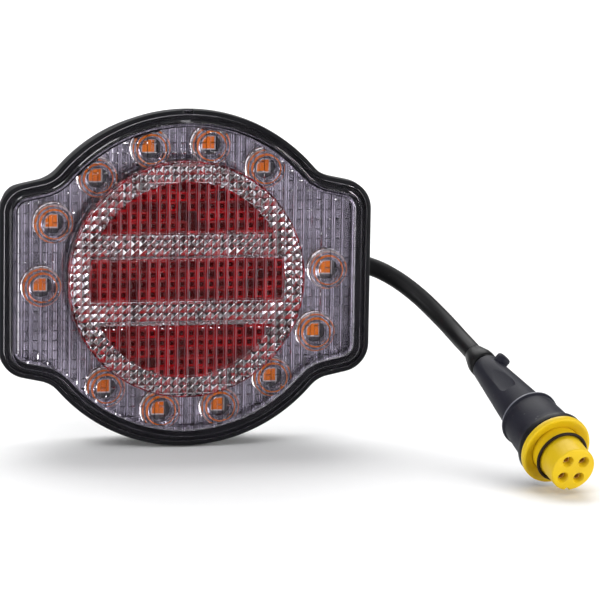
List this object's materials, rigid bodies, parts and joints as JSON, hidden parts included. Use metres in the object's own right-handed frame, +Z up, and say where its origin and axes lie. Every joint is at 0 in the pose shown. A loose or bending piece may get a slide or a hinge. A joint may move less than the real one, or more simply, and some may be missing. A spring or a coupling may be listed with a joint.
{
  "type": "trailer rear lamp",
  "caption": "Drum-shaped rear lamp with two side lobes, clear and red lenses, a raised prism ring, and a short lead with a round plug.",
  "frame": {"origin": "centre of the housing's flat rear face, which bolts against the vehicle", "axes": "+X to the right as seen from the front, +Y out of the rear face towards the vehicle, +Z up; the lens faces -Y"},
  "size_m": [0.2037, 0.1465, 0.127],
  "materials": {
    "black_plastic": "fine satin moulding texture",
    "clear_plastic": "clear, polished",
    "red_plastic": "transparent red, polished",
    "silver_plastic": "satin light grey",
    "board": "solder mask",
    "amber_chip": "cast resin",
    "red_chip": "cast resin",
    "zinc": "zinc plated",
    "brass": "bright",
    "yellow_plastic": "satin",
    "lead_rubber": "satin",
    "plug_rubber": "matt",
    "core_1": "satin",
    "core_2": "satin",
    "core_3": "satin",
    "core_4": "satin"
  },
  "bodies": {
    "lamp": {"amber_led_01": "amber_chip", "amber_led_02": "amber_chip", "amber_led_03": "amber_chip", "amber_led_04": "amber_chip", "amber_led_05": "amber_chip", "amber_led_06": "amber_chip", "amber_led_07": "amber_chip", "amber_led_08": "amber_chip", "amber_led_09": "amber_chip", "amber_led_10": "amber_chip", "amber_led_11": "amber_chip", "amber_led_12": "amber_chip", "board_screw_1": "zinc", "board_screw_2": "zinc", "board_screw_3": "zinc", "board_screw_4": "zinc", "cable": "lead_rubber", "cable_gland": "lead_rubber", "cable_terminal": "silver_plastic", "chamber_ring": "black_plastic", "circuit_board": "board", "clear_lens": "clear_plastic", "contact_1": "brass", "contact_2": "brass", "contact_3": "brass", "contact_4": "brass", "core_wire_1": "core_1", "core_wire_2": "core_2", "core_wire_3": "core_3", "core_wire_4": "core_4", "flange_nut_left": "zinc", "flange_nut_right": "zinc", "housing": "black_plastic", "led_driver": "black_plastic", "nose_seal": "plug_rubber", "optic_ring": "clear_plastic", "plug_boot": "plug_rubber", "plug_collar": "plug_rubber", "plug_insert": "yellow_plastic", "red_led_1": "red_chip", "red_led_2": "red_chip", "red_led_3": "red_chip", "red_led_4": "red_chip", "red_led_5": "red_chip", "red_led_6": "red_chip", "red_led_7": "red_chip", "red_led_8": "red_chip", "red_lens": "red_plastic", "reflector_tray": "silver_plastic", "stud_left": "zinc", "stud_right": "zinc", "vent_plug": "silver_plastic"},
    "coupling": {"coupling_sleeve": "plug_rubber", "flange_seal": "plug_rubber", "coupling_ring": "yellow_plastic"}
  },
  "joints": [
    {"name": "coupling_turn", "type": "hinge", "parent": "lamp", "child": "coupling", "pos_m": [0.105, -0.0505, -0.0258], "axis": [0.2233, -0.9143, -0.3378], "range_deg": [0, 45]}
  ]
}
